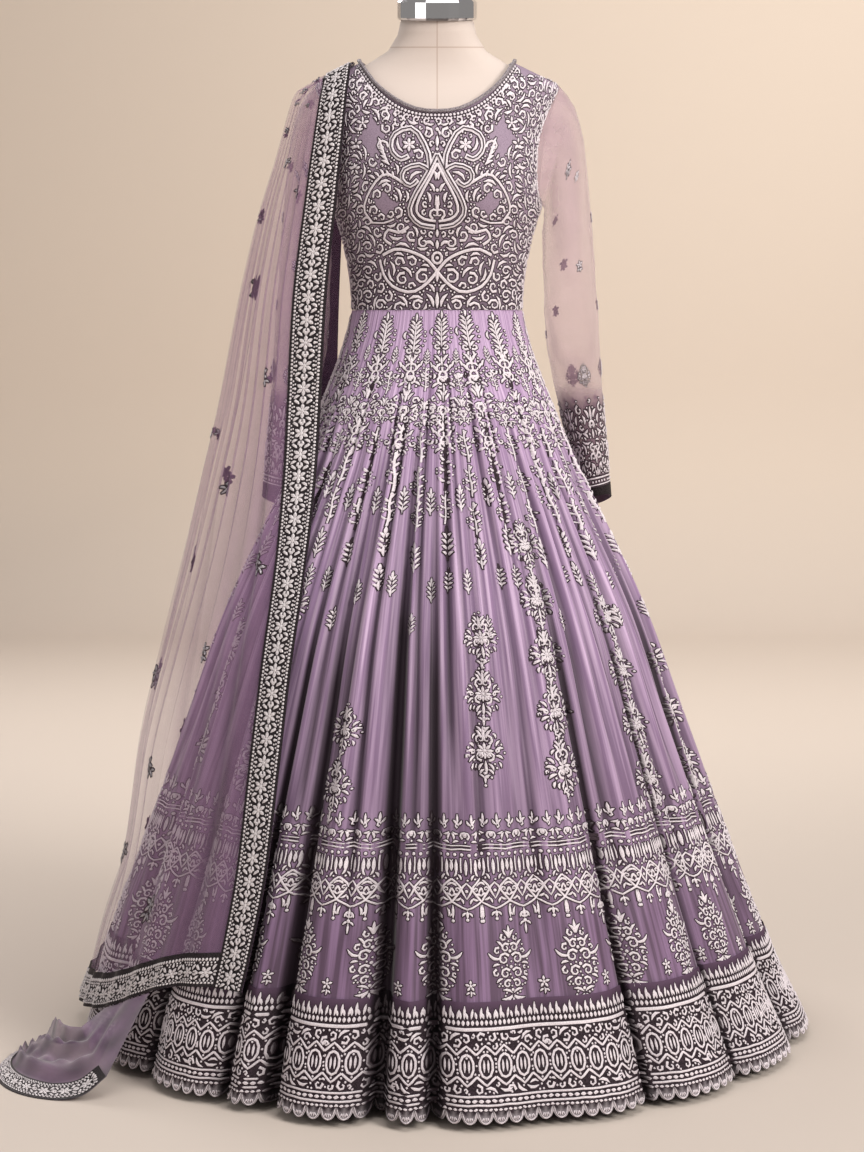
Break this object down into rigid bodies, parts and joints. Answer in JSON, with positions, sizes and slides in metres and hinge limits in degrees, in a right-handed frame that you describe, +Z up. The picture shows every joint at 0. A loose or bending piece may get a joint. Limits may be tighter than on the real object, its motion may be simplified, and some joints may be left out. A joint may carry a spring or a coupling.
{
  "type": "embroidered gown of a lehenga set with net shawl, on a limbless dress form with stand",
  "caption": "Floor-length flared gown with fitted embroidered bodice, net sleeves and a net shawl over one shoulder, shown on a limbless dress form on a stand.",
  "frame": {"origin": "on the floor under the centre of the stand's pole", "axes": "+Z up; the front of the gown faces -Y; +X is towards the wearer's left"},
  "size_m": [1.1155, 1.0668, 1.4738],
  "materials": {
    "steel": "satin",
    "linen": "matt linen cover",
    "chrome": "polished",
    "bodice_cloth": "matt lilac cloth under raised pale embroidery",
    "skirt_cloth": "soft lilac net over cloth, pleated",
    "embroidered_border": "dark ground covered in pale raised embroidery",
    "sleeve_net": "sheer net",
    "shawl_net": "sheer net",
    "shawl_trim": "near-black ground with pale beads",
    "bead_cord": "dark cord with silver beads"
  },
  "bodies": {
    "root": {"stand_base": "steel", "stand_pole": "steel", "form_body": "linen", "form_neck_cap": "chrome", "bodice_front": "bodice_cloth", "bodice_back": "bodice_cloth", "neck_trim": "bead_cord", "sleeve_left": "sleeve_net", "sleeve_right": "sleeve_net", "cuff_left": "sleeve_net", "cuff_right": "sleeve_net", "cuff_trim_left": "embroidered_border", "cuff_trim_right": "embroidered_border", "hem_border": "embroidered_border", "shawl_front": "shawl_net", "shawl_back": "shawl_net", "shawl_tail": "shawl_net", "shawl_edge_trim_front": "shawl_trim", "shawl_end_trim_front": "shawl_trim", "shawl_edge_trim_back": "shawl_trim", "shawl_end_trim_back": "shawl_trim", "shawl_tail_trim": "shawl_trim", "skirt_gore_1": "skirt_cloth", "skirt_gore_2": "skirt_cloth", "skirt_gore_3": "skirt_cloth", "skirt_gore_4": "skirt_cloth", "skirt_gore_5": "skirt_cloth", "skirt_gore_6": "skirt_cloth", "skirt_gore_7": "skirt_cloth", "skirt_gore_8": "skirt_cloth"}
  },
  "joints": []
}
